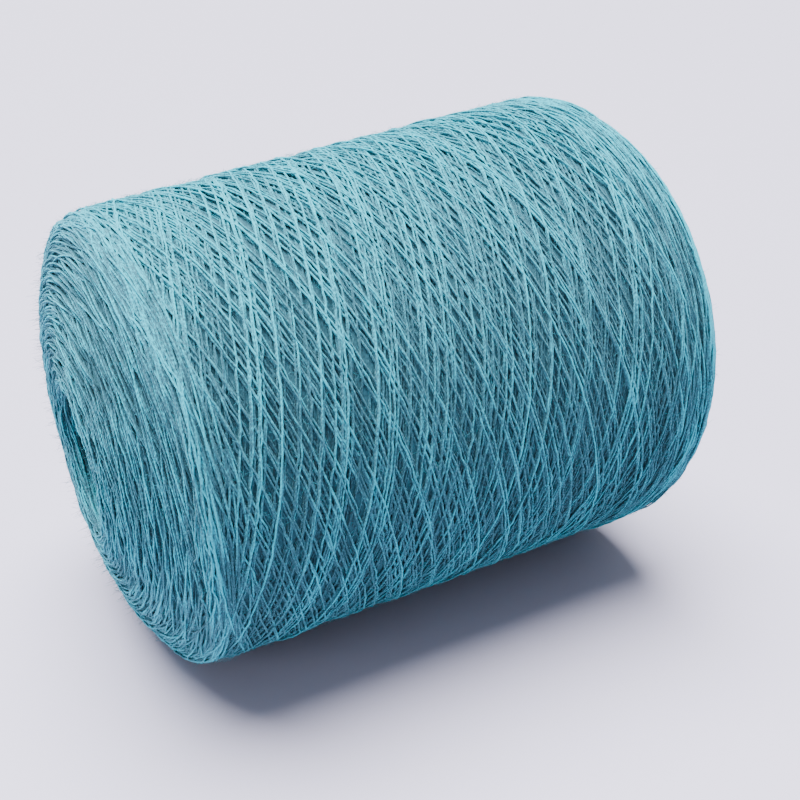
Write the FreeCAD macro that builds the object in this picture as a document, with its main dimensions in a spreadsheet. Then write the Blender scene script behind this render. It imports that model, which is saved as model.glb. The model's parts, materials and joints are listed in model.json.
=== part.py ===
import FreeCAD, Part
import math
import os

import Sketcher
from FreeCAD import Vector

# A cross-wound yarn package on a paper cone, lying on its side.
#
# Every sub-part is drawn in one local frame: +Z is the winding axis from the nose (the small end) to
# the base, Z = 0 is the nose end of the traverse, and +X is the side that the package lies on.
# In the part's own frame the package rests on the plane Z = 0, its axis rises towards +X by the
# cone's half angle, and the origin is the middle of the flat that it lies on.

DIMENSIONS = [
    # winding: the traverse is the wound length along the axis, the build is the depth of the yarn
    ("traverse", 152.0),
    ("build", 42.1),
    ("cone_angle", 3.5),
    ("yarn_dia", 0.7),
    # nose face of the yarn: it bulges past the traverse and hides the cone's nose in a recess
    ("nose_bulge", 11.5),
    ("nose_crest_radius", 20.5),
    ("nose_lip", 2.9),
    ("nose_contact", -2.5),
    # base face of the yarn: a shallow bulge
    ("base_bulge_radius", 54.0),
    ("base_contact", 1.0),
    # soft shoulders between the yarn's side and its two faces
    ("nose_shoulder", 3.5),
    ("base_shoulder", 5.0),
    # flat that the soft yarn takes where it lies on a table
    ("rest_sag", 0.65),
    # paper cone
    ("cone_length", 170.0),
    ("cone_nose_dia", 43.0),
    ("cone_wall", 3.0),
    ("cone_overhang", 2.0),
    ("ply", 0.4),
    ("bore_dia", 35.0),
    ("bore_length", 8.0),
    ("bore_ramp", 4.0),
    ("nose_edge", 1.0),
    ("notch_width", 1.2),
    ("notch_depth", 5.0),
    # yarn reserve wound on the bare cone at its base
    ("reserve_start", 157.2),
    ("reserve_pitch", 0.75),
    # how far the outline of a cut runs past the solid
    ("cut_margin", 10.0),
]
RESERVE_TURNS = 6

# Values worked out from the dimensions. A radius "at" a place is measured from the winding axis.
DERIVED = [
    ("slope", "tan(Dim.cone_angle)"),
    ("tilt_cos", "cos(Dim.cone_angle)"),
    ("tilt_sin", "sin(Dim.cone_angle)"),
    ("cone_radius", "Dim.cone_nose_dia / 2 + Dim.cone_overhang * .slope"),
    ("tip_z", "-Dim.cone_overhang"),
    ("end_z", "Dim.cone_length - Dim.cone_overhang"),
    # yarn
    ("nose_rim", ".cone_radius + Dim.build"),
    ("base_rim", ".nose_rim + Dim.traverse * .slope"),
    ("nose_hole", ".cone_radius + Dim.nose_contact * .slope"),
    ("base_hole_z", "Dim.traverse + Dim.base_contact"),
    ("base_hole", ".cone_radius + .base_hole_z * .slope"),
    ("lip_radius", "Dim.nose_crest_radius - Dim.nose_lip"),
    ("lip_z", "Dim.nose_lip - Dim.nose_bulge"),
    ("face_width", ".nose_rim - Dim.nose_crest_radius"),
    ("face_arc", "(.face_width ^ 2 + Dim.nose_bulge ^ 2) / (2 * Dim.nose_bulge)"),
    ("crest_z", "-Dim.nose_bulge"),
    # strip that is cut away under the resting flat
    ("flat_at_nose", ".nose_rim - Dim.rest_sag / .tilt_cos"),
    ("flat_near_z", "-Dim.nose_bulge - Dim.cut_margin"),
    ("flat_far_z", "Dim.traverse + Dim.cut_margin"),
    ("flat_near", ".flat_at_nose + .flat_near_z * .slope"),
    ("flat_far", ".flat_at_nose + .flat_far_z * .slope"),
    ("flat_near_outside", ".flat_near + Dim.cut_margin"),
    ("flat_far_outside", ".flat_far + Dim.cut_margin"),
    ("flat_span", "4 * Dim.cut_margin"),
    # board of the cone, under its top ply
    ("board_radius", ".cone_radius - Dim.ply / .tilt_cos"),
    ("board_wall", "Dim.cone_wall - Dim.ply"),
    ("board_tip", ".board_radius + .tip_z * .slope"),
    ("board_end", ".board_radius + .end_z * .slope"),
    ("ramp_z", ".tip_z + Dim.bore_length + Dim.bore_ramp"),
    ("ramp_radius", ".board_radius + .ramp_z * .slope - .board_wall"),
    ("bore_z", ".tip_z + Dim.bore_length"),
    ("bore_radius", "Dim.bore_dia / 2"),
    ("board_end_inside", ".board_end - .board_wall"),
    # notch for the yarn's tail, on the cone's upper side
    ("notch_outside", "-.board_end - Dim.cut_margin"),
    ("notch_inside", "-.board_end_inside + Dim.cut_margin"),
    ("notch_z", ".end_z - Dim.notch_depth"),
    ("notch_top", ".end_z + Dim.cut_margin"),
    # placement: the middle of the resting flat goes to the origin
    ("middle_z", "Dim.traverse / 2"),
    ("middle_radius", ".flat_at_nose + .middle_z * .slope"),
    ("place_x", "-(.middle_radius * .tilt_sin + .middle_z * .tilt_cos)"),
    ("place_z", ".nose_rim * .tilt_cos - Dim.rest_sag"),
]

doc = FreeCAD.newDocument("yarn_package")
sheet = doc.addObject("Spreadsheet::Sheet", "Dim")
derived = doc.addObject("App::VarSet", "Derived")


def fill_sheet():
    """One row per driving dimension: its name, then its value under an alias."""
    for row, (alias, value) in enumerate(DIMENSIONS, start=1):
        sheet.set(f"A{row}", alias)
        sheet.set(f"B{row}", str(value))
        sheet.setAlias(f"B{row}", alias)
    doc.recompute()


def fill_derived():
    """One property per derived value, bound to the sheet and to the values above it."""
    for name, expression in DERIVED:
        derived.addProperty("App::PropertyFloat", name, "Derived")
        derived.setExpression(name, expression)
        doc.recompute()


def number(name):
    """The present value of a dimension or a derived value."""
    if hasattr(derived, name):
        return getattr(derived, name)
    return getattr(sheet, name)


def reference(name):
    """The expression that reads a dimension or a derived value."""
    if hasattr(derived, name):
        return f"Derived.{name}"
    return f"Dim.{name}"


def height_of(name):
    """The present value of a height; None stands for the start of the traverse."""
    return 0.0 if name is None else number(name)


def origin_plane(body, role):
    """The body's own origin feature with this role, such as XZ_Plane."""
    return next(item for item in body.Origin.OriginFeatures if item.Role == role)


def arc_middle(start, end, radius):
    """A point halfway along the short arc from start to end; a positive radius bulges to the left."""
    chord = end - start
    half = chord.Length / 2
    rise = abs(radius) - math.sqrt(radius * radius - half * half)
    left = Vector(-chord.y, chord.x, 0).normalize()
    return (start + end) * 0.5 + left * math.copysign(rise, radius)


def closed_outline(sketch, corners, arcs):
    """A closed outline through named corners (radius, height). arcs maps the number of a corner to
    the name of the radius of the arc that leaves it, and to the side that the arc bulges to."""
    points = [Vector(number(radius), height_of(height), 0) for radius, height in corners]
    count = len(points)
    for index, start in enumerate(points):
        end = points[(index + 1) % count]
        if index in arcs:
            name, side = arcs[index]
            middle = arc_middle(start, end, side * number(name))
            sketch.addGeometry(Part.Arc(start, middle, end))
        else:
            sketch.addGeometry(Part.LineSegment(start, end))
    # The sketcher turns an arc's ends so that it runs anticlockwise, so each end is looked up.
    ends = [end_at(sketch, index, points[index]) for index in range(count)]
    for index in range(count):
        before = (index - 1) % count
        start_here = ends[index]
        end_before = end_at(sketch, before, points[index])
        sketch.addConstraint(Sketcher.Constraint("Coincident", before, end_before, index, start_here))
        radius, height = corners[index]
        across = Sketcher.Constraint("DistanceX", -1, 1, index, start_here, points[index].x)
        bind(sketch, across, radius)
        if height is None:
            sketch.addConstraint(Sketcher.Constraint("PointOnObject", index, start_here, -1))
        else:
            rise = Sketcher.Constraint("DistanceY", -1, 1, index, start_here, points[index].y)
            bind(sketch, rise, height)
        if index in arcs:
            name = arcs[index][0]
            bind(sketch, Sketcher.Constraint("Radius", index, number(name)), name)


def end_at(sketch, index, point):
    """Which end of the sketch's edge, 1 or 2, is at this point."""
    start = sketch.getPoint(index, 1)
    return 1 if (start - point).Length < 1e-4 else 2


def bind(sketch, constraint, name):
    """Add a constraint whose value follows a dimension or a derived value."""
    position = sketch.addConstraint(constraint)
    sketch.setExpression(f"Constraints[{position}]", reference(name))


def add_body(label):
    """An empty body with its label."""
    body = doc.addObject("PartDesign::Body", label)
    body.Label = label
    return body


def add_sketch(body, name):
    """A sketch on the body's own XZ plane: across is the radius, up is the height on the axis."""
    sketch = body.newObject("Sketcher::SketchObject", name)
    sketch.AttachmentSupport = [(origin_plane(body, "XZ_Plane"), "")]
    sketch.MapMode = "FlatFace"
    doc.recompute()
    return sketch


def revolve(body, sketch, name):
    """The sketch turned all the way round the winding axis."""
    solid = body.newObject("PartDesign::Revolution", name)
    solid.Profile = sketch
    solid.ReferenceAxis = (sketch, ["V_Axis"])
    solid.Angle = 360.0
    body.Tip = solid
    doc.recompute()
    return solid


def rim_edges(feature, radius, height):
    """The names of the feature's edges that pass through this radius and height."""
    point = Part.Vertex(radius, 0, height)
    edges = enumerate(feature.Shape.Edges, start=1)
    return [f"Edge{position}" for position, edge in edges if edge.distToShape(point)[0] < 1e-4]


def round_rim(body, base, name, corner, radius_name):
    """Round the rim that goes round the axis through a corner of the outline."""
    rims = rim_edges(base, number(corner[0]), height_of(corner[1]))
    circles = [edge for edge in rims if isinstance(base.Shape.getElement(edge).Curve, Part.Circle)]
    fillet = body.newObject("PartDesign::Fillet", name)
    fillet.Base = (base, circles)
    fillet.setExpression("Radius", reference(radius_name))
    body.Tip = fillet
    doc.recompute()
    return fillet


def pocket(body, sketch, name, width):
    """Cut the sketch out of the body, by this width in all, half on each side of the sketch."""
    volume = body.Tip.Shape.Volume
    cut = body.newObject("PartDesign::Pocket", name)
    cut.Profile = sketch
    cut.SideType = "Symmetric"
    cut.Type = "Length"
    cut.setExpression("Length", reference(width))
    body.Tip = cut
    doc.recompute()
    if cut.Shape.Volume > volume - 0.1:
        raise RuntimeError(f"{name} cuts nothing")
    return cut


def place(item):
    """Lay a sub-part on its side, with the middle of the resting flat at the origin."""
    item.setExpression(
        "Placement",
        "placement(vector(Derived.place_x; 0; Derived.place_z);"
        " rotation(vector(0; 1; 0); 90 - Dim.cone_angle))",
    )


def make_yarn():
    """The wound yarn: a hollow truncated cone with bulging faces and a small flat to lie on."""
    body = add_body("yarn_package")
    outline = add_sketch(body, "YarnOutline")
    corners = [
        ("nose_hole", "nose_contact"),
        ("lip_radius", "lip_z"),
        ("nose_crest_radius", "crest_z"),
        ("nose_rim", None),
        ("base_rim", "traverse"),
        ("base_hole", "base_hole_z"),
    ]
    arcs = {1: ("nose_lip", -1), 2: ("face_arc", -1), 4: ("base_bulge_radius", -1)}
    closed_outline(outline, corners, arcs)
    solid = revolve(body, outline, "YarnTurned")
    solid = round_rim(body, solid, "NoseShoulder", corners[3], "nose_shoulder")
    round_rim(body, solid, "BaseShoulder", corners[4], "base_shoulder")
    flat = add_sketch(body, "RestingFlat")
    strip = [
        ("flat_near", "flat_near_z"),
        ("flat_far", "flat_far_z"),
        ("flat_far_outside", "flat_far_z"),
        ("flat_near_outside", "flat_near_z"),
    ]
    closed_outline(flat, strip, {})
    pocket(body, flat, "RestingCut", "flat_span")
    place(body)
    return body


def make_cone():
    """The cone's board: a thin conical shell with a rolled nose and a notch for the yarn's tail."""
    body = add_body("paper_cone")
    outline = add_sketch(body, "ConeOutline")
    corners = [
        ("board_tip", "tip_z"),
        ("board_end", "end_z"),
        ("board_end_inside", "end_z"),
        ("ramp_radius", "ramp_z"),
        ("bore_radius", "bore_z"),
        ("bore_radius", "tip_z"),
    ]
    closed_outline(outline, corners, {})
    solid = revolve(body, outline, "ConeTurned")
    solid = round_rim(body, solid, "NoseOutside", corners[0], "nose_edge")
    round_rim(body, solid, "NoseInside", corners[5], "nose_edge")
    notch = add_sketch(body, "TailNotch")
    slot = [
        ("notch_outside", "notch_z"),
        ("notch_inside", "notch_z"),
        ("notch_inside", "notch_top"),
        ("notch_outside", "notch_top"),
    ]
    closed_outline(notch, slot, {})
    pocket(body, notch, "TailNotchCut", "notch_width")
    place(body)
    return body


def add_cone(name, wall_inside):
    """A solid cone along the paper cone's ply, to its outside or to the board under it."""
    cone = doc.addObject("Part::Cone", name)
    inset = " - Dim.ply / Derived.tilt_cos" if wall_inside else ""
    foot = "Derived.cone_radius + (Derived.tip_z + Dim.nose_edge) * Derived.slope"
    head = "Derived.cone_radius + Derived.end_z * Derived.slope"
    cone.setExpression("Radius1", foot + inset)
    cone.setExpression("Radius2", head + inset)
    cone.setExpression("Height", "Dim.cone_length - Dim.nose_edge")
    cone.setExpression("Placement.Base.z", "Derived.tip_z + Dim.nose_edge")
    return cone


def add_cut(name, base, tool):
    """One solid cut out of another."""
    cut = doc.addObject("Part::Cut", name)
    cut.Base = base
    cut.Tool = tool
    return cut


def make_ply():
    """The cone's top ply: a paper sheet round the board, open at the notch."""
    tube = add_cut("PlyTube", add_cone("PlyOutside", False), add_cone("PlyInside", True))
    notch = doc.addObject("Part::Box", "PlyNotch")
    notch.setExpression("Length", "Derived.notch_inside - Derived.notch_outside")
    notch.setExpression("Width", "Dim.notch_width")
    notch.setExpression("Height", "Derived.notch_top - Derived.notch_z")
    notch.setExpression("Placement.Base.x", "Derived.notch_outside")
    notch.setExpression("Placement.Base.y", "-Dim.notch_width / 2")
    notch.setExpression("Placement.Base.z", "Derived.notch_z")
    ply = add_cut("cone_top_ply", tube, notch)
    ply.Label = "cone_top_ply"
    place(ply)
    return ply


def make_reserve():
    """The yarn reserve: a few turns side by side on the bare cone, each one a ring."""
    turns = []
    for turn in range(RESERVE_TURNS):
        height = f"Dim.reserve_start + {turn} * Dim.reserve_pitch"
        ring = doc.addObject("Part::Torus", f"ReserveTurn{turn + 1}")
        ring.setExpression(
            "Radius1",
            f"Derived.cone_radius + ({height}) * Derived.slope + Dim.yarn_dia / 2 / Derived.tilt_cos",
        )
        ring.setExpression("Radius2", "Dim.yarn_dia / 2")
        ring.setExpression("Placement.Base.z", height)
        turns.append(ring)
    reserve = doc.addObject("Part::Compound", "tail_reserve")
    reserve.Label = "tail_reserve"
    reserve.Links = turns
    place(reserve)
    return reserve


def check(sub_parts):
    """Stop on any failed object, and on any sub-part without a valid shape."""
    for item in doc.Objects:
        if "Invalid" in item.State or "Error" in item.State:
            raise RuntimeError(f"{item.Label} failed: {item.State}")
    for item in sub_parts:
        if item.Shape.isNull() or not item.Shape.isValid():
            raise RuntimeError(f"{item.Label} has no valid shape")


def write(sub_parts):
    """One STEP file for each sub-part."""
    os.makedirs("parts", exist_ok=True)
    for item in sub_parts:
        item.Shape.exportStep(f"parts/{item.Label}.step")
        box = item.Shape.BoundBox
        size = f"{box.XLength:.1f} x {box.YLength:.1f} x {box.ZLength:.1f} mm"
        print(f"{item.Label}: {len(item.Shape.Solids)} solid(s), {size}, {item.Shape.Volume:.0f} mm3")


fill_sheet()
fill_derived()
sub_parts = [make_yarn(), make_cone(), make_ply(), make_reserve()]
doc.recompute()
check(sub_parts)
write(sub_parts)
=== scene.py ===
"""Looks of a cone of cross-wound yarn that lies on its side.

The outer yarn on the side is wound here stroke by stroke, as on a winding machine: each stroke lies
taut on the yarn under it, so the crossings, bridges and gaps of a real package come out of the winding
itself. The yarn on the two faces is short arcs at random places, which dive under one another.
"""
import json
import math

import bpy
import numpy as np
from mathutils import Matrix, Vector


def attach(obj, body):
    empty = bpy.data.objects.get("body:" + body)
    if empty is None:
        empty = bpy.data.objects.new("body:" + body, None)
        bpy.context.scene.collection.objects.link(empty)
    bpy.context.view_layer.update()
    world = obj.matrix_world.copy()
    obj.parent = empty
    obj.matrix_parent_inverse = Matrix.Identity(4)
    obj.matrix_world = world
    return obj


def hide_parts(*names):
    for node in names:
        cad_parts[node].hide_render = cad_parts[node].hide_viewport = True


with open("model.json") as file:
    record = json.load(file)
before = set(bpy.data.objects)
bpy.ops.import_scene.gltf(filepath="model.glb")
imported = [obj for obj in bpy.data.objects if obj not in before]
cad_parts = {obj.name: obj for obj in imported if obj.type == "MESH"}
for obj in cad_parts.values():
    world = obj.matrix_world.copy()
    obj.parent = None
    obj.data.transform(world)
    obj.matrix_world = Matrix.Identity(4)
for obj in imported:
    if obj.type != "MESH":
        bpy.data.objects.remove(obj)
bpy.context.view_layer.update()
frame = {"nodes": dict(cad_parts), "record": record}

MM = 0.001
TAU = 2 * math.pi
# every random draw comes from here, in the order of the script, so the looks are always the same
RNG = np.random.default_rng(11)

# ---------------------------------------------------------------- package, in millimetres
TRAVERSE = 152.0
# depth of the yarn on the cone
BUILD = 42.1
SLOPE = math.tan(math.radians(3.5))
CONE_NOSE_RADIUS = 21.5
# how far the cone stands out past the nose face's rim
CONE_OVERHANG = 2.0
CONE_END = 168.0
# radius of the cone at the small rim
CONE_RADIUS = CONE_NOSE_RADIUS + CONE_OVERHANG * SLOPE
NOSE_RIM = CONE_RADIUS + BUILD
BASE_RIM = NOSE_RIM + TRAVERSE * SLOPE
MEAN_RADIUS = (NOSE_RIM + BASE_RIM) / 2
# the nose face bulges to a crest round its hole, then rolls in over a lip to the cone
NOSE_BULGE = 11.5
NOSE_CREST = 20.5
NOSE_LIP = 2.9
NOSE_CONTACT = -2.5
BASE_BULGE_RADIUS = 54.0
BASE_CONTACT = 153.0
# how far the rounding of the rims reaches to each side
SHOULDER = 4.5
# how much higher the nose face bulges on its fuller side, as a share
UNEVEN_BULGE = 0.3
FULLER_SIDE = -TAU / 4
# the yarn gives softly over this depth where it meets the table
TABLE_GIVE = 0.25
OUTLINE_STEP = 0.5

# ---------------------------------------------------------------- yarn
YARN = 0.7
YARN_RADIUS = YARN / 2
# the strand is thinner where it is wound tight
TIGHT = 0.78
# spun yarn is thicker here and thinner there, by these shares of its radius
SLUB_SPREAD = 0.16
SLUB_LIMIT = 0.35
# how tightly the plies are twisted: the furrows come closer together as this rises
PLY_TWIST = 0.55

# ---------------------------------------------------------------- winding
WIND_SLOPE = math.tan(math.radians(15.5))
# length of strand that each turn back takes up, at the nose and at the base
NOSE_TURN = 70.0
BASE_TURN = 300.0
# double strokes wound first, to lie on, and those that can be seen
BURIED_PAIRS = 110
SHOWN_PAIRS = 224
PAIRS_PER_PIECE = 28
# turns of the package in one double stroke; the golden ratio spreads the strokes evenly
TURNS = 3 + ((math.sqrt(5) - 1) / 2) ** 4
# how much the turns vary from one double stroke to the next
TURNS_SLIP = 0.0007
# how far the strand strays to the side, and in how many waves over a double stroke
WANDER = 0.6
WANDER_WAVES = (5, 9, 16, 29)
# height field that the yarn is laid on: rows along the axis, columns round it
CELL = 0.3
FIELD_START = -6.0
ROWS = int((TRAVERSE - 2 * FIELD_START) / CELL)
COLUMNS = int(TAU * MEAN_RADIUS / CELL)
STEP = TAU * MEAN_RADIUS / COLUMNS
# curvature of a taut strand on the bare package
TAUT_CURVE = 1 / (MEAN_RADIUS * (1 + WIND_SLOPE ** 2))
# a strand crushes what it crosses, sinks between its neighbours and rides a little over them
CRUSH = 0.15
SINK = 0.3
RIDE = 0.12
# package radius that each double stroke adds
GROWTH = 0.0105
# columns in one block of the taut line, and reach of the yarn's softness and of its stiffness
HULL_BLOCK = 3
SOFT_REACH = 14
BEND_REACH = 3
# double strokes between two presses by the drum
PRESS_EVERY = 7
# how far inside the surface a layer turns back, and how much that height varies
TURN_INSET = 0.4
TURN_SPREAD = 1.6
# length over which a double stroke comes up or down from the end of the one before
JOIN_LENGTH = 10.0
# share of the field's cells that lie under the finished surface, in percent
SURFACE_LEVEL = 92
# share of the relief that is left on the squashed package, and the most that a strand stands proud
SQUASH = 0.52
PROUD_LIMIT = 0.35

# ---------------------------------------------------------------- strands on the side
RINGS = 520
SIDE_CORNERS = 6
# how uneven a strand lies along its length, sideways, and from one stroke to the next
UNEVEN = 0.08
STRAY = 0.15
STROKE_DEPTH = 0.14
# the free end goes under over its last rings
TUCK_RINGS = 22
TUCK_DEPTH = 3.0

# ---------------------------------------------------------------- strands on the faces
NOSE_ARCS = 3000
BASE_ARCS = 2800
ARC_RINGS = 15
ARC_CORNERS = 5
ARCS_PER_PIECE = 1000
# the arcs thin out over this many points of the outline at a face's edge
ARC_TAPER = 24
# half of the angle that an arc covers
ARC_SWEEP = 0.42
# how far an arc leans across the outline, as a share of its reach, and how far its ends bend
ARC_LEAN = 0.08
ARC_BEND = 0.8
# mean, spread, lowest and highest height of an arc's middle over the surface
ARC_LIFT = (-0.5, 0.25, -1.3, 0.1)
# how many times as steeply as the winding an arc dives, from least to most
ARC_STEEPNESS = (1.0, 2.0)

# ---------------------------------------------------------------- loose fibres
HAIRS = 16000
HAIR_RADIUS = 0.04
HAIR_TAPER = (1.0, 0.9, 0.4)
HAIR_RINGS = len(HAIR_TAPER)
HAIR_CORNERS = 3
# depth of the roots, range of lengths, and range of slopes away from the surface
HAIR_DEPTH = 0.25
HAIR_LENGTH = (0.8, 2.6)
HAIR_RISE = (0.15, 0.6)
# how much a fibre curls sideways, and how much it runs along the axis rather than round it
HAIR_CURL = 0.35
HAIR_ALONG = 0.5

# ---------------------------------------------------------------- painted shade between strands
# a tone of 1 is light and 0 is dark; it falls from 1 to 0 over this depth
SHADE_DEPTH = 1.8
SHADE_SPREAD = 0.1
SHADE_RANGE = (0.15, 1.1)
# painted shade on the flanks of each strand, darkest at its sides
FLANK_SHADE = 0.5
# painted shade of the yarn under the strands, which lies deep
CORE_SHADED_TONE = 0.3
RESERVE_TONE = 0.8
# painted shade fades where the surface faces up by more than TOP_START; on top TOP_FADE of it is gone
# so the top of the package is painted lighter, as light from above reaches into its gaps
TOP_START = 0.4
TOP_FADE = 0.6

# ---------------------------------------------------------------- yarn under the strands
CORE_DEPTH_SIDE = 1.5
CORE_DEPTH_FACE = 1.2
# width of the rim over which one depth passes into the other
CORE_BLEND = 6.0
CORE_SIDES = 360
CORE_EVERY = 3

# ---------------------------------------------------------------- tail reserve
RESERVE_TURNS = 6
RESERVE_START = 157.2
RESERVE_PITCH = 0.75
RESERVE_RINGS = 520
RESERVE_CORNERS = 8
# the lead comes out of the package here and takes this share of a turn to the reserve
LEAD_START = 152.5
LEAD_TURN = 0.6
# the tail takes this share of a turn to the notch, then goes in through it
TAIL_TURN = 0.5
NOTCH_FLOOR = 163.0
NOTCH_GAP = 0.6
TAIL_INSIDE = 7.0
TAIL_RINGS = 24
TAIL_DROOP = 0.02
# the strand's outermost line leans to the base by this much, because its tail runs straight in
RESERVE_LEAN = 0.6

# ---------------------------------------------------------------- camera and light, in metres
TARGET = (0.00953, 0.0, 0.05471)
CAMERA_AZIMUTH = 32.49
CAMERA_PITCH = 24.28
CAMERA_DISTANCE = 0.3179
LENS = 44.5
FLOOR_SIZE = 24.0
FLOOR_GAP = 0.0002
# the key is strong, so the floor looks much paler than this
FLOOR_COLOUR = (0.45, 0.42, 0.55, 1)
SKY_COLOUR = (0.93, 0.96, 1.0, 1)
SKY_STRENGTH = 0.38


def package_frame():
    """Origin and axes of the winding, from the mounts on the paper cone's two ends."""
    mounts = {m["name"]: m for m in frame["record"]["mounts"]}
    mouth = np.array(mounts["nose_bore"]["pos_m"]) / MM
    along = -np.array(mounts["nose_bore"]["axis"])
    ring = np.array(mounts["base_ring"]["pos_m"]) / MM
    start = mouth + along * (np.dot(ring - mouth, along) - CONE_END)
    across = np.array([0.0, 1.0, 0.0])
    down = np.cross(across, along)
    return start, down, across, along


START, DOWN, ACROSS, ALONG = package_frame()


def turned(radius, angle, z):
    """Places round the winding axis as points in the part's frame, in mm. The nose face, where z
    is below 0, bulges more on its fuller side."""
    fuller = 1 + UNEVEN_BULGE * (1 + np.cos(angle - FULLER_SIDE)) / 2
    z = np.where(z < 0, z * fuller, z)
    x = radius * np.cos(angle)
    y = radius * np.sin(angle)
    return START + x[..., None] * DOWN + y[..., None] * ACROSS + z[..., None] * ALONG


def turned_vector(outward, angle, forward):
    """Directions in the plane of the axis, outward and along it, in the part's frame."""
    x = outward * np.cos(angle)
    y = outward * np.sin(angle)
    return x[..., None] * DOWN + y[..., None] * ACROSS + forward[..., None] * ALONG


def settle(points):
    """Press what would sink into the table up to the flat that the package lies on."""
    lift = points[..., 2] / TABLE_GIVE
    near = TABLE_GIVE * np.logaddexp(0.0, np.clip(lift, -60, 30))
    points[..., 2] = np.where(lift > 30, points[..., 2], near)
    return points


def running_mean(values, reach):
    """Mean over this many samples on each side, with the end values carried on."""
    window = np.full(2 * reach + 1, 1 / (2 * reach + 1))
    return np.convolve(np.pad(values, reach, mode="edge"), window, mode="valid")


# ---------------------------------------------------------------- outline of the finished package
def arc_points(start, end, radius):
    """Points (radius, height) along an arc that bulges to the right of start-to-end."""
    start = np.array(start)
    chord = np.array(end) - start
    half = np.linalg.norm(chord) / 2
    right = np.array([chord[1], -chord[0]]) / (2 * half)
    centre = start + chord / 2 - right * math.sqrt(radius * radius - half * half)
    spoke = start - centre
    first = math.atan2(spoke[1], spoke[0])
    sweep = 2 * math.asin(half / radius)
    angles = first + np.linspace(0, sweep, max(4, int(radius * sweep / OUTLINE_STEP)))
    return centre + radius * np.stack([np.cos(angles), np.sin(angles)], axis=1)


def line_points(start, end):
    """Points (radius, height) along a straight line."""
    count = max(2, int(math.dist(start, end) / OUTLINE_STEP))
    share = np.linspace(0, 1, count)[:, None]
    return np.array(start) * (1 - share) + np.array(end) * share


def package_outline():
    """Points (radius, height) of the yarn's outline, from its hole at the nose to that at the base."""
    hole = (CONE_RADIUS + NOSE_CONTACT * SLOPE, NOSE_CONTACT)
    lip = (NOSE_CREST - NOSE_LIP, NOSE_LIP - NOSE_BULGE)
    crest = (NOSE_CREST, -NOSE_BULGE)
    nose_rim = (NOSE_RIM, 0.0)
    base_rim = (BASE_RIM, TRAVERSE)
    base_hole = (CONE_RADIUS + BASE_CONTACT * SLOPE, BASE_CONTACT)
    width = NOSE_RIM - NOSE_CREST
    face_arc = (width ** 2 + NOSE_BULGE ** 2) / (2 * NOSE_BULGE)
    runs = [
        line_points(hole, lip),
        arc_points(lip, crest, NOSE_LIP),
        arc_points(crest, nose_rim, face_arc),
        line_points(nose_rim, base_rim),
        arc_points(base_rim, base_hole, BASE_BULGE_RADIUS),
    ]
    corners = np.concatenate(runs)
    length = arc_lengths(corners)
    even = np.linspace(0, length[-1], int(length[-1] / OUTLINE_STEP))
    points = [np.interp(even, length, corners[:, axis]) for axis in (0, 1)]
    reach = int(SHOULDER / OUTLINE_STEP)
    return np.stack([running_mean(values, reach) for values in points], axis=1)


def arc_lengths(points):
    """How far along a run of points each one is."""
    steps = np.linalg.norm(np.diff(points, axis=0), axis=1)
    return np.concatenate([[0.0], np.cumsum(steps)])


OUTLINE = package_outline()
OUTLINE_LENGTH = arc_lengths(OUTLINE)
OUTLINE_ALONG = np.gradient(OUTLINE, OUTLINE_LENGTH, axis=0)
NOSE_TOP = int(np.argmin(OUTLINE[:, 1]))
BASE_TOP = int(np.argmax(OUTLINE[:, 1]))
SIDE_MIDDLE = int(np.argmin(abs(OUTLINE[:, 1] - TRAVERSE / 2)))
BASE_CORNER = int(np.argmax(OUTLINE[:, 0]))
NOSE_CORNER = int(np.argmin(abs(OUTLINE[:SIDE_MIDDLE, 1])))


def surface_radius(z):
    """Radius of the finished package's side and rims at a height on the axis."""
    outer = OUTLINE[NOSE_TOP:BASE_TOP + 1]
    return np.interp(z, outer[:, 1], outer[:, 0])


def turning_heights(depth):
    """Where a layer this deep under the side turns back, on the nose face and on the base face."""
    nose = OUTLINE[NOSE_TOP:SIDE_MIDDLE]
    base = OUTLINE[BASE_TOP:BASE_CORNER:-1]
    inset = depth + TURN_INSET
    low = np.interp(NOSE_RIM - inset, nose[:, 0], nose[:, 1])
    high = np.interp(BASE_RIM - inset, base[:, 0], base[:, 1])
    return low, high


# ---------------------------------------------------------------- winding
def stroke_heights(count, nose, base, next_nose):
    """Heights on the axis of a double stroke, from one turn at the nose over the base to the next."""
    along = np.arange(count) * STEP
    half = along[-1] / 2
    near = np.minimum(along, 2 * half - along)
    far = half - near
    rise = near - NOSE_TURN / 4
    rise = np.where(near < NOSE_TURN / 2, near ** 2 / NOSE_TURN, rise)
    total = half - NOSE_TURN / 4 - BASE_TURN / 4
    rise = np.where(far < BASE_TURN / 2, total - far ** 2 / BASE_TURN, rise)
    start = np.where(along < half, nose, next_nose)
    return start + (base - start) * rise / total + wander(along / along[-1])


def wander(share):
    """How far the strand strays to the side, in slow waves that die out at the turns."""
    stray = np.zeros(len(share))
    for waves in WANDER_WAVES:
        height = RNG.normal(0, WANDER / waves)
        stray += height * np.sin(TAU * (waves * share + RNG.random()))
    return stray * np.clip(20 * share * (1 - share), 0, 1)


def taut_line(need):
    """Height of a taut strand over what lies under it: it spans the hollows in straight lines."""
    blocks = len(need) // HULL_BLOCK
    high = need[:blocks * HULL_BLOCK].reshape(blocks, HULL_BLOCK).max(axis=1)
    place = (np.arange(blocks) + 0.5) * HULL_BLOCK * STEP
    middle = place[-1] / 2
    bent = (high - TAUT_CURVE / 2 * (place - middle) ** 2).tolist()
    spots = place.tolist()
    hull = []
    for index, height in enumerate(bent):
        while len(hull) > 1 and is_slack(spots, bent, hull[-2], hull[-1], index):
            hull.pop()
        hull.append(index)
    along = np.arange(len(need)) * STEP
    span = np.interp(along, place[hull], np.array(bent)[hull])
    return span + TAUT_CURVE / 2 * (along - middle) ** 2


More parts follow.
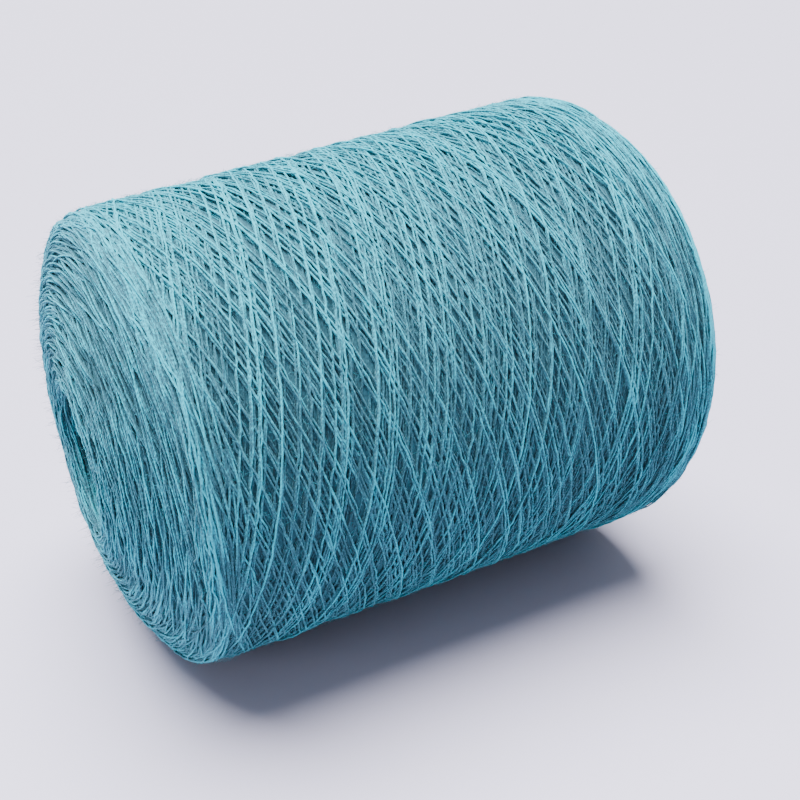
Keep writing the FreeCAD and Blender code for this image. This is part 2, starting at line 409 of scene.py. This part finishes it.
def is_slack(spots, heights, first, middle, last):
    """Whether the middle point lies under the line from the first to the last one."""
    rise = (heights[last] - heights[first]) * (spots[middle] - spots[first])
    return (heights[middle] - heights[first]) * (spots[last] - spots[first]) <= rise


def footprint(z):
    """Rows of the height field under a strand, with the strand's half thickness over each row."""
    middle = np.rint((z - FIELD_START) / CELL - 0.5).astype(int)
    rows = []
    for side in (-1, 0, 1):
        row = np.clip(middle + side, 0, ROWS - 1)
        aside = FIELD_START + (row + 0.5) * CELL - z
        rows.append((row, np.sqrt(np.clip(YARN_RADIUS ** 2 - aside ** 2, 0, None))))
    return rows


def lay(ground, column, z):
    """Lay one double stroke on the height field; returns the heights of the strand's middle."""
    columns = (column + np.arange(len(z))) % COLUMNS
    rows = footprint(z)
    need = np.max([ground[row, columns] + reach for row, reach in rows], axis=0) - CRUSH
    height = np.minimum(taut_line(need), running_mean(need, SOFT_REACH) + RIDE)
    height = running_mean(np.maximum(height, need - SINK), BEND_REACH)
    for row, reach in rows:
        ground[row, columns] = np.maximum(ground[row, columns], height + reach)
    return height


def press(ground, pressed):
    """Press down the rims, where the turns pile up, as the drum under the package does."""
    profile = ground.mean(axis=1)
    level = np.median(profile[ROWS // 4:-ROWS // 4])
    excess = running_mean(np.clip(profile - level, 0, None), SOFT_REACH)
    ground -= excess[:, None]
    pressed += excess


def wind():
    """Wind the outer double strokes one by one. Returns, for each one that can be seen, its angle,
    its height on the axis and how far it stands over the package's surface."""
    ground = np.zeros((ROWS, COLUMNS))
    pressed = np.zeros(ROWS)
    row_heights = FIELD_START + (np.arange(ROWS) + 0.5) * CELL
    column = 0
    laid = []
    low, high = turning_heights(GROWTH * (BURIED_PAIRS + SHOWN_PAIRS))
    end_height = 0.0
    for left in range(BURIED_PAIRS + SHOWN_PAIRS, 0, -1):
        turns = TURNS + RNG.normal(0, TURNS_SLIP)
        count = round(turns * COLUMNS)
        nose, base = turning_heights(GROWTH * left) + RNG.normal(0, TURN_SPREAD, 2)
        z = stroke_heights(count, low, base, nose)
        height = lay(ground, column, z)
        if left <= SHOWN_PAIRS:
            height += (end_height - height[0]) * np.exp(-np.arange(count) * STEP / JOIN_LENGTH)
            laid.append((column, z, height, np.interp(z, row_heights, pressed)))
        end_height = height[-1]
        column += count - 1
        low = nose
        if left % PRESS_EVERY == 0:
            press(ground, pressed)
    top = running_mean(np.percentile(ground, SURFACE_LEVEL, axis=1), SOFT_REACH)
    return [finish_stroke(stroke, row_heights, top, pressed) for stroke in laid]


def finish_stroke(stroke, row_heights, top, pressed):
    """Angle, height on the axis and height over the package's surface, evenly spaced along it."""
    column, z, height, pressed_before = stroke
    sunk = np.interp(z, row_heights, pressed + top) - pressed_before
    proud = (height - sunk) * SQUASH
    proud = np.where(proud > 0, PROUD_LIMIT * np.tanh(proud / PROUD_LIMIT), proud)
    angle = (column + np.arange(len(z))) * TAU / COLUMNS
    rings = np.linspace(0, len(z) - 1, RINGS)
    samples = np.arange(len(z))
    return np.stack([np.interp(rings, samples, values) for values in (angle, z, proud)])


# ---------------------------------------------------------------- strands as meshes
def unit(vectors):
    """Vectors of length one."""
    return vectors / np.linalg.norm(vectors, axis=-1, keepdims=True)


def ring_turns(sides):
    """How far round the strand each corner of a ring is; the first one is the outermost."""
    return TAU / 4 + np.arange(sides) * TAU / sides


def tube_corners(middles, outward, radius, sides):
    """Rings of corners round strands; middles and outward are arrays of strand, ring, xyz."""
    forward = unit(np.gradient(middles, axis=1))
    side = unit(np.cross(forward, outward))
    up = np.cross(side, forward)
    turn = ring_turns(sides)
    ring = np.cos(turn)[:, None] * side[:, :, None] + np.sin(turn)[:, None] * up[:, :, None]
    return middles[:, :, None] + ring * radius[:, :, None, None]


def tube_faces(strands, rings, sides):
    """Quads of open tubes whose corners are ordered by strand, ring and side."""
    index = np.arange(strands * rings * sides).reshape(strands, rings, sides)
    here = index[:, :-1]
    there = index[:, 1:]
    quads = [here, np.roll(here, -1, axis=2), np.roll(there, -1, axis=2), there]
    return np.stack(quads, axis=-1).reshape(-1, 4)


def tube_coordinates(middles, sides):
    """For each corner of each quad: how far along the strand in mm, and how far round it."""
    steps = np.linalg.norm(np.diff(middles, axis=1), axis=-1)
    start = np.concatenate([np.zeros((len(middles), 1)), np.cumsum(steps, axis=1)], axis=1)
    strands, rings = start.shape
    along = np.stack([start[:, :-1], start[:, :-1], start[:, 1:], start[:, 1:]], axis=-1)
    along = np.broadcast_to(along[:, :, None], (strands, rings - 1, sides, 4))
    turn = np.arange(sides)[:, None] + np.array([0, 1, 1, 0])
    turn = np.broadcast_to(turn / sides, along.shape)
    return np.stack([along, turn], axis=-1).reshape(-1, 2)


def strand_piece(name, middles, outward, radius, sides, tones):
    """One mesh of many strands. tones is the lightness of every ring, with its painted shade, from 0,
    dark, to 1, light.
    """
    corners = settle(tube_corners(middles, outward, radius, sides)).reshape(-1, 3) * MM
    strands, rings = middles.shape[:2]
    piece = mesh_piece(name, corners, tube_faces(strands, rings, sides))
    layer = piece.data.uv_layers.new(name="strand")
    layer.data.foreach_set("uv", tube_coordinates(middles, sides).astype(np.float32).ravel())
    # painted shade on each strand's flanks, added to the painted shade of deep strands, and less of it
    # all on top
    flank = FLANK_SHADE * (1 - np.sin(ring_turns(sides)))
    shade = (1 - tones[..., None] + flank) * shade_left(outward)[..., None]
    tone_and_painted_shade = piece.data.attributes.new("tone_and_painted_shade", "FLOAT", "POINT")
    tone_and_painted_shade.data.foreach_set("value", (1 - shade).astype(np.float32).ravel())
    return piece


def shade_left(outward):
    """How much of the painted shade is kept: less on top of the lying package, where light from above
    reaches the gaps.
    """
    facing_up = unit(outward)[..., 2]
    top = np.clip((facing_up - TOP_START) / (1 - TOP_START), 0, 1)
    return 1 - TOP_FADE * top


def mesh_piece(name, corners, faces):
    """A smooth mesh object from arrays of corners, in metres, and quads."""
    mesh = bpy.data.meshes.new(name)
    mesh.vertices.add(len(corners))
    mesh.vertices.foreach_set("co", corners.astype(np.float32).ravel())
    mesh.loops.add(faces.size)
    mesh.loops.foreach_set("vertex_index", faces.astype(np.int32).ravel())
    mesh.polygons.add(len(faces))
    mesh.polygons.foreach_set("loop_start", np.arange(0, faces.size, 4, dtype=np.int32))
    mesh.update(calc_edges=True)
    mesh.shade_smooth()
    piece = bpy.data.objects.new(name, mesh)
    bpy.context.scene.collection.objects.link(piece)
    return piece


def slubs(strands, rings):
    """Spun yarn is nowhere quite even: a radius for every ring of every strand."""
    swell = RNG.normal(0, SLUB_SPREAD, (strands, rings))
    return TIGHT * YARN_RADIUS * (1 + np.clip(swell, -SLUB_LIMIT, SLUB_LIMIT))


def shades(proud):
    """The lightness of every ring: painted shade darkens strands that lie deep among the others, and
    each one varies at random.
    """
    own = RNG.normal(0, SHADE_SPREAD, (len(proud), 1))
    return np.clip(1 + proud / SHADE_DEPTH + own, *SHADE_RANGE)


def add_side_strands(material):
    """The wound strands on the package's side, in pieces of a few dozen double strokes each."""
    strokes = np.array(wind())
    tuck_in(strokes[-1])
    for number, first in enumerate(range(0, SHOWN_PAIRS, PAIRS_PER_PIECE), start=1):
        angle, z, proud = np.moveaxis(strokes[first:first + PAIRS_PER_PIECE], 1, 0)
        ripple = RNG.normal(0, UNEVEN, proud.shape)
        sunk = abs(RNG.normal(0, STROKE_DEPTH, (len(proud), 1)))
        proud += ripple - sunk
        z[:, 1:-1] += RNG.normal(0, STRAY, z[:, 1:-1].shape)
        outward = turned_vector(np.ones_like(z), angle, np.full_like(z, -SLOPE))
        middles = turned(surface_radius(z) + proud, angle, z)
        tones = shades(proud)
        radius = slubs(*z.shape)
        piece = strand_piece(f"side_yarn_{number}", middles, outward, radius, SIDE_CORNERS, tones)
        finish_yarn(piece, material)


def tuck_in(stroke):
    """The strand's free end goes under the yarn beside it."""
    share = np.clip((np.arange(RINGS) - (RINGS - TUCK_RINGS)) / (TUCK_RINGS - 2), 0, 1)
    stroke[2] -= TUCK_DEPTH * share ** 2


def face_spots(first, last, count, taper):
    """Random places, as lengths along the outline, between two of its points. They are even all
    over the face, but thin out over this many points at both ends."""
    index = np.arange(last - first)
    edge = np.minimum(index, index[::-1])
    share = np.cumsum(OUTLINE[first:last, 0] * np.clip((edge + 1) / taper, 0, 1))
    spots = RNG.random((count, 1)) * share[-1]
    return np.interp(spots, share, OUTLINE_LENGTH[first:last])


def on_outline(length):
    """Radius, height and outward direction at these lengths along the outline."""
    radius, z = [np.interp(length, OUTLINE_LENGTH, values) for values in OUTLINE.T]
    along_radius, along_z = [np.interp(length, OUTLINE_LENGTH, values) for values in OUTLINE_ALONG.T]
    return radius, z, along_z, -along_radius


def add_face_strands(name, first, last, count, turn, material):
    """The turns of the strand that show on a face: shallow arcs that dive in at both ends."""
    spots = face_spots(first, last, count, ARC_TAPER)
    middle_radius = on_outline(spots)[0]
    share = np.linspace(-1, 1, ARC_RINGS)[None, :]
    reach = ARC_SWEEP * middle_radius * share
    lean = RNG.normal(0, ARC_LEAN, (count, 1)) * reach
    bend = RNG.normal(0, ARC_BEND, (count, 1)) * share ** 2
    radius, z, out_radius, out_z = on_outline(spots + (lean + bend))
    dive = WIND_SLOPE * reach ** 2 * NOSE_RIM / (turn * middle_radius)
    mean, spread, lowest, highest = ARC_LIFT
    lift = RNG.normal(mean, spread, (count, 1)).clip(lowest, highest)
    steepness = RNG.uniform(*ARC_STEEPNESS, (count, 1))
    proud = lift - dive * steepness + RNG.normal(0, UNEVEN, reach.shape)
    angle = RNG.random((count, 1)) * TAU + reach / middle_radius
    outward = turned_vector(out_radius, angle, out_z)
    middles = turned(radius + out_radius * proud, angle, z + out_z * proud)
    tones = shades(proud)
    thickness = slubs(count, ARC_RINGS)
    for number, start in enumerate(range(0, count, ARCS_PER_PIECE), start=1):
        part = slice(start, start + ARCS_PER_PIECE)
        piece = strand_piece(f"{name}_{number}", middles[part], outward[part], thickness[part],
                             ARC_CORNERS, tones[part])
        finish_yarn(piece, material)


def add_core(material):
    """The yarn under the outer strands, as one turned surface a little under the outline."""
    outward = np.stack([OUTLINE_ALONG[:, 1], -OUTLINE_ALONG[:, 0]], axis=1)
    on_side = np.clip((OUTLINE[:, 0] - NOSE_RIM + CORE_BLEND) / CORE_BLEND, 0, 1)
    depth = CORE_DEPTH_FACE + (CORE_DEPTH_SIDE - CORE_DEPTH_FACE) * on_side
    inner = (OUTLINE - outward * depth[:, None])[::CORE_EVERY]
    turn = np.arange(CORE_SIDES) * TAU / CORE_SIDES
    angle = np.broadcast_to(turn, (len(inner), CORE_SIDES))
    corners = settle(turned(inner[:, :1] + 0 * angle, angle, inner[:, 1:] + 0 * angle))
    index = np.arange(corners.size // 3).reshape(len(inner), CORE_SIDES)
    quads = [index[:-1], np.roll(index[:-1], -1, axis=1), np.roll(index[1:], -1, axis=1), index[1:]]
    core = mesh_piece("inner_yarn", corners.reshape(-1, 3) * MM, np.stack(quads, axis=-1).reshape(-1, 4))
    # the yarn under the strands is painted dark, as painted shade deep between the strands
    tone_and_painted_shade = core.data.attributes.new("tone_and_painted_shade", "FLOAT", "POINT")
    tone_and_painted_shade.data.foreach_set("value", np.full(corners.size // 3, CORE_SHADED_TONE, dtype=np.float32))
    finish_yarn(core, material)


def add_fuzz(material):
    """Loose fibre ends that stand off the outer strands."""
    radius, z, out_radius, out_z = on_outline(face_spots(0, len(OUTLINE), HAIRS, 1))
    angle = RNG.random((HAIRS, 1)) * TAU
    root = turned(radius - out_radius * HAIR_DEPTH, angle, z - out_z * HAIR_DEPTH)
    outward = turned_vector(out_radius, angle, out_z)
    round_axis = np.cross(outward, ALONG)
    across = RNG.normal(0, 1, (HAIRS, 1, 1)) * round_axis
    sideways = unit(across + RNG.normal(0, HAIR_ALONG, (HAIRS, 1, 1)) * ALONG)
    length = RNG.uniform(*HAIR_LENGTH, (HAIRS, 1, 1))
    share = np.linspace(0, 1, HAIR_RINGS)[None, :, None]
    rise = RNG.uniform(*HAIR_RISE, (HAIRS, 1, 1))
    curl = unit(np.cross(outward, sideways)) * RNG.normal(0, HAIR_CURL, (HAIRS, 1, 1))
    middles = root + length * (share * sideways + rise * share * outward + share ** 2 * curl)
    thickness = HAIR_RADIUS * np.broadcast_to(np.array(HAIR_TAPER), (HAIRS, HAIR_RINGS))
    outward = np.broadcast_to(outward, middles.shape)
    tones = np.ones((HAIRS, HAIR_RINGS))
    piece = strand_piece("fuzz", middles, outward, thickness, HAIR_CORNERS, tones)
    finish_yarn(piece, material)


def add_reserve(material):
    """The first turns of the strand on the bare cone, its lead from the package, and its tail
    that is caught in the notch."""
    lead = LEAD_TURN * TAU
    last = RESERVE_TURNS * TAU
    leave = TAIL_TURN * TAU
    angle = np.linspace(-lead, last + leave, RESERVE_RINGS)
    wound = RESERVE_START + RESERVE_PITCH * angle / TAU
    led = RESERVE_START + (RESERVE_START - LEAD_START) * angle / lead
    past = np.clip((angle - last) / leave, 0, 1)
    climb = NOTCH_FLOOR + NOTCH_GAP - RESERVE_START - RESERVE_PITCH * (RESERVE_TURNS + TAIL_TURN)
    z = np.where(angle < 0, led, wound) + climb * past ** 2
    radius = CONE_RADIUS + z * SLOPE + YARN_RADIUS
    tail = np.linspace(0, TAIL_INSIDE, TAIL_RINGS)[1:]
    angle = np.concatenate([angle, np.full(len(tail), angle[-1])])
    radius = np.concatenate([radius, radius[-1] - tail])
    z = np.concatenate([z, z[-1] - TAIL_DROOP * tail ** 2])
    middles = turned(radius, angle, z)[None]
    outward = turned_vector(np.ones_like(z), angle, np.full_like(z, RESERVE_LEAN))[None]
    tones = np.full((1, len(z)), RESERVE_TONE)
    piece = strand_piece("reserve_yarn", middles, outward, slubs(1, len(z)), RESERVE_CORNERS, tones)
    finish_yarn(piece, material)
    return piece


def finish_yarn(piece, material):
    """Yarn has the yarn's finish and rides on the package."""
    piece.data.materials.append(material)
    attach(piece, "root")


# ---------------------------------------------------------------- materials
def new_material(name, roughness):
    """A material and its principled shader."""
    material = bpy.data.materials.new(name)
    material.use_nodes = True
    shader = material.node_tree.nodes["Principled BSDF"]
    shader.inputs["Roughness"].default_value = roughness
    return material, shader


def noise(nodes, scale, detail):
    """A noise texture."""
    texture = nodes.new("ShaderNodeTexNoise")
    texture.inputs["Scale"].default_value = scale
    texture.inputs["Detail"].default_value = detail
    return texture


def ramp(nodes, stops):
    """A colour ramp through (place, colour) stops."""
    node = nodes.new("ShaderNodeValToRGB")
    elements = node.color_ramp.elements
    for element, (place, colour) in zip(elements, (stops[0], stops[-1])):
        element.position = place
        element.color = (*colour, 1)
    for place, colour in stops[1:-1]:
        elements.new(place).color = (*colour, 1)
    return node


def yarn_material(name, dark, middle, light, fibre):
    """Matte spun yarn: two twisted plies, each strand with a random shade of its own, and painted shade
    where it lies deep and on its flanks.
    """
    material, shader = new_material(name, 0.85)
    nodes = material.node_tree.nodes
    links = material.node_tree.links
    shader.inputs["Specular IOR Level"].default_value = 0.05
    shader.inputs["Sheen Weight"].default_value = 0.6
    shader.inputs["Sheen Roughness"].default_value = 0.5
    shader.inputs["Sheen Tint"].default_value = (*fibre, 1)
    place = nodes.new("ShaderNodeTexCoord")
    cloud = noise(nodes, 1500.0, 4.0)
    links.new(place.outputs["Object"], cloud.inputs["Vector"])
    # this attribute carries each strand's random shade and the painted shade between and along the
    # strands
    tone_and_painted_shade = nodes.new("ShaderNodeAttribute")
    tone_and_painted_shade.attribute_name = "tone_and_painted_shade"
    blend = nodes.new("ShaderNodeMath")
    blend.operation = "MULTIPLY_ADD"
    blend.inputs[1].default_value = 0.6
    links.new(tone_and_painted_shade.outputs["Fac"], blend.inputs[0])
    share = nodes.new("ShaderNodeMath")
    share.operation = "MULTIPLY"
    share.inputs[1].default_value = 0.8
    links.new(cloud.outputs["Fac"], share.inputs[0])
    links.new(share.outputs[0], blend.inputs[2])
    colours = ramp(nodes, [(0.32, dark), (0.74, middle), (0.99, light)])
    links.new(blend.outputs[0], colours.inputs["Fac"])
    links.new(colours.outputs["Color"], shader.inputs["Base Color"])
    links.new(ply_bump(nodes, links), shader.inputs["Normal"])
    return material


def ply_bump(nodes, links):
    """Slanting furrows of the two plies round a strand, roughened by its fibres."""
    strand = nodes.new("ShaderNodeUVMap")
    strand.uv_map = "strand"
    twist = nodes.new("ShaderNodeMapping")
    twist.inputs["Scale"].default_value = (PLY_TWIST, 1.0, 1.0)
    furrow = nodes.new("ShaderNodeTexWave")
    furrow.wave_type = "BANDS"
    furrow.bands_direction = "DIAGONAL"
    furrow.inputs["Scale"].default_value = 1.0
    furrow.inputs["Distortion"].default_value = 0.6
    furrow.inputs["Detail"].default_value = 2.0
    bump = nodes.new("ShaderNodeBump")
    bump.inputs["Strength"].default_value = 0.6
    bump.inputs["Distance"].default_value = 0.12 * MM
    links.new(strand.outputs["UV"], twist.inputs["Vector"])
    links.new(twist.outputs["Vector"], furrow.inputs["Vector"])
    links.new(furrow.outputs["Fac"], bump.inputs["Height"])
    return bump.outputs["Normal"]


def paper_material(name, dark, light, grain, bump_depth):
    """Paper or board: mottled, with fine fibres."""
    material, shader = new_material(name, 0.8)
    nodes = material.node_tree.nodes
    links = material.node_tree.links
    place = nodes.new("ShaderNodeTexCoord")
    fibres = noise(nodes, grain, 6.0)
    fibres.inputs["Distortion"].default_value = 1.5
    links.new(place.outputs["Object"], fibres.inputs["Vector"])
    colours = ramp(nodes, [(0.35, dark), (0.65, light)])
    links.new(fibres.outputs["Fac"], colours.inputs["Fac"])
    links.new(colours.outputs["Color"], shader.inputs["Base Color"])
    bump = nodes.new("ShaderNodeBump")
    bump.inputs["Strength"].default_value = 0.4
    bump.inputs["Distance"].default_value = bump_depth * MM
    links.new(fibres.outputs["Fac"], bump.inputs["Height"])
    links.new(bump.outputs["Normal"], shader.inputs["Normal"])
    return material


def give(node, material):
    """Give a CAD node its material."""
    shown = frame["nodes"][node]
    shown.data.materials.clear()
    shown.data.materials.append(material)


# ---------------------------------------------------------------- stage
def add_floor():
    """A wide pale floor, just under the flat that the package lies on."""
    bpy.ops.mesh.primitive_plane_add(size=FLOOR_SIZE, location=(0, 0, -FLOOR_GAP))
    floor = bpy.context.object
    floor.name = "floor"
    material, shader = new_material("plain_floor", 0.6)
    shader.inputs["Base Color"].default_value = FLOOR_COLOUR
    floor.data.materials.append(material)


def add_sun(name, towards, spread, strength, colour):
    """Light from one side, soft because it comes from a wide patch of the sky, given in degrees."""
    data = bpy.data.lights.new(name, "SUN")
    data.angle = math.radians(spread)
    data.energy = strength
    data.color = colour
    light = bpy.data.objects.new(name, data)
    light.rotation_euler = Vector(towards).to_track_quat("Z", "Y").to_euler()
    bpy.context.scene.collection.objects.link(light)


def add_sky():
    """Even pale light from all round."""
    world = bpy.data.worlds.new("sky")
    bpy.context.scene.world = world
    world.use_nodes = True
    background = world.node_tree.nodes["Background"]
    background.inputs["Color"].default_value = SKY_COLOUR
    background.inputs["Strength"].default_value = SKY_STRENGTH


def add_camera():
    """A camera level from side to side, aimed at the middle of the package."""
    data = bpy.data.cameras.new("camera")
    data.lens = LENS
    data.sensor_width = 36.0
    data.clip_start = 0.01
    camera = bpy.data.objects.new("camera", data)
    azimuth = math.radians(CAMERA_AZIMUTH)
    pitch = math.radians(CAMERA_PITCH)
    view = Vector((math.sin(azimuth), math.cos(azimuth), -math.tan(pitch))).normalized()
    camera.location = Vector(TARGET) - view * CAMERA_DISTANCE
    camera.rotation_euler = view.to_track_quat("-Z", "Y").to_euler()
    bpy.context.scene.collection.objects.link(camera)
    bpy.context.scene.camera = camera


# ---------------------------------------------------------------- build
teal = yarn_material("teal_yarn", dark=(0.012, 0.028, 0.038), middle=(0.034, 0.122, 0.165),
                     light=(0.012, 0.39, 0.49), fibre=(0.20, 0.60, 0.73))
add_core(teal)
add_side_strands(teal)
add_face_strands("nose_face_yarn", 0, NOSE_CORNER + ARC_TAPER, NOSE_ARCS, NOSE_TURN, teal)
add_face_strands("base_face_yarn", BASE_CORNER - ARC_TAPER, len(OUTLINE), BASE_ARCS, NOSE_TURN, teal)
add_fuzz(teal)
reserve = add_reserve(teal)
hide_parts("yarn_package")
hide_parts("tail_reserve")
board = paper_material("grey_board", dark=(0.30, 0.25, 0.19), light=(0.46, 0.39, 0.30),
                       grain=500.0, bump_depth=0.05)
ply = paper_material("white_ply", dark=(0.66, 0.64, 0.58), light=(0.78, 0.76, 0.70),
                     grain=700.0, bump_depth=0.02)
give("paper_cone", board)
give("cone_top_ply", ply)
add_floor()
add_sun("key", towards=(-0.06, 0.16, 1.0), spread=50.0, strength=16.5, colour=(0.98, 1.0, 0.99))
add_sun("fill", towards=(-1.0, -0.18, 0.08), spread=50.0, strength=2.8, colour=(0.90, 0.95, 1.0))
add_sky()
add_camera()
